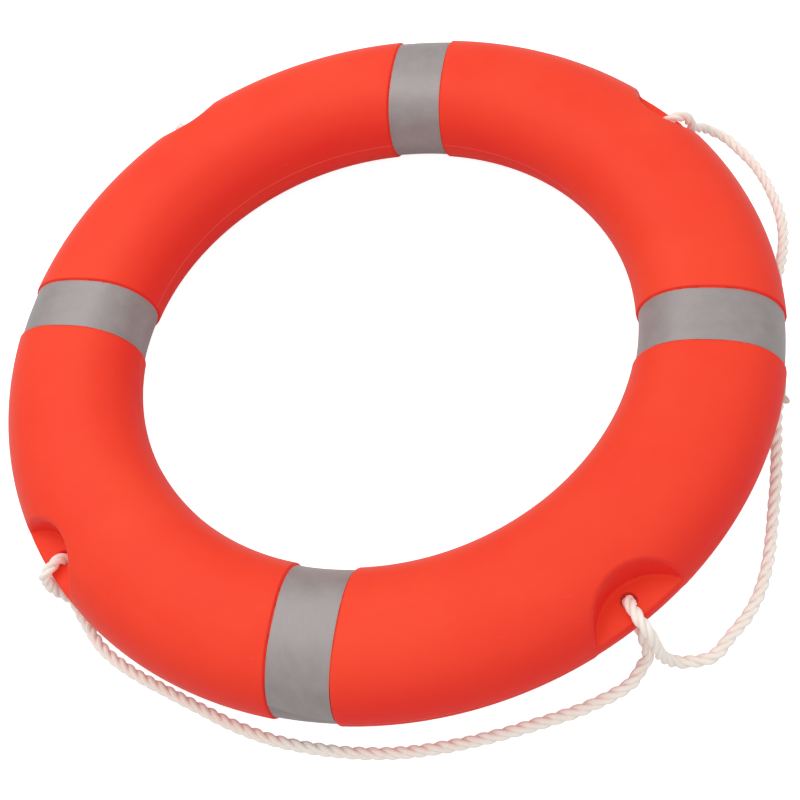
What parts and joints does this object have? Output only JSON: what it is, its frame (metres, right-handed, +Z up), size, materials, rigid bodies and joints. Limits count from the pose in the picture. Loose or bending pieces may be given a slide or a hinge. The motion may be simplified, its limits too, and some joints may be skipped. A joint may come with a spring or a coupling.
{
  "type": "ring lifebuoy",
  "caption": "Ring lifebuoy: foam-filled moulded ring with retroreflective bands and a twisted grab line looped from pocket to pocket round the rim.",
  "frame": {"origin": "on the ring's axis, on the ground plane the ring lies on", "axes": "+Z up along the ring's axis; the retroreflective bands sit on the +X, +Y, -X and -Y axes and the rope pockets on the diagonals between them"},
  "size_m": [0.7209, 0.7391, 0.095],
  "materials": {
    "shell": "satin",
    "foam": "matte",
    "plug": "satin",
    "tape": "satin",
    "line": "matte",
    "sleeve": "matte"
  },
  "bodies": {
    "ring": {"shell": "shell", "foam_core": "foam", "filler_plug": "plug", "vent_plug": "plug", "band_right": "tape", "band_back": "tape", "band_left": "tape", "band_front": "tape", "grab_line_turn_front_right": "line", "grab_line_turn_back_right": "line", "grab_line_turn_back_left": "line", "grab_line_turn_front_left": "line"},
    "line_right": {"grab_line_span_right": "line", "grab_line_sleeve": "sleeve"},
    "line_top": {"grab_line_span_top": "line"},
    "line_left": {"grab_line_span_left": "line"},
    "line_bottom": {"grab_line_span_bottom": "line"}
  },
  "joints": [
    {"name": "lift_right", "type": "hinge", "parent": "ring", "child": "line_right", "pos_m": [0.26071, -0.00559, 0.04575], "axis": [-0.0189, -0.9998, 0.001], "range_deg": [0, 90]},
    {"name": "lift_top", "type": "hinge", "parent": "ring", "child": "line_top", "pos_m": [0, 0.25965, 0.0337], "axis": [1, 0, 0], "range_deg": [0, 90]},
    {"name": "lift_left", "type": "hinge", "parent": "ring", "child": "line_left", "pos_m": [-0.2606, 0.0006, 0.0406], "axis": [-0.0038, 0.9996, 0.0275], "range_deg": [0, 80]},
    {"name": "lift_bottom", "type": "hinge", "parent": "ring", "child": "line_bottom", "pos_m": [-0.00117, -0.26315, 0.0359], "axis": [-0.9989, 0.0064, 0.0463], "range_deg": [0, 80]}
  ]
}
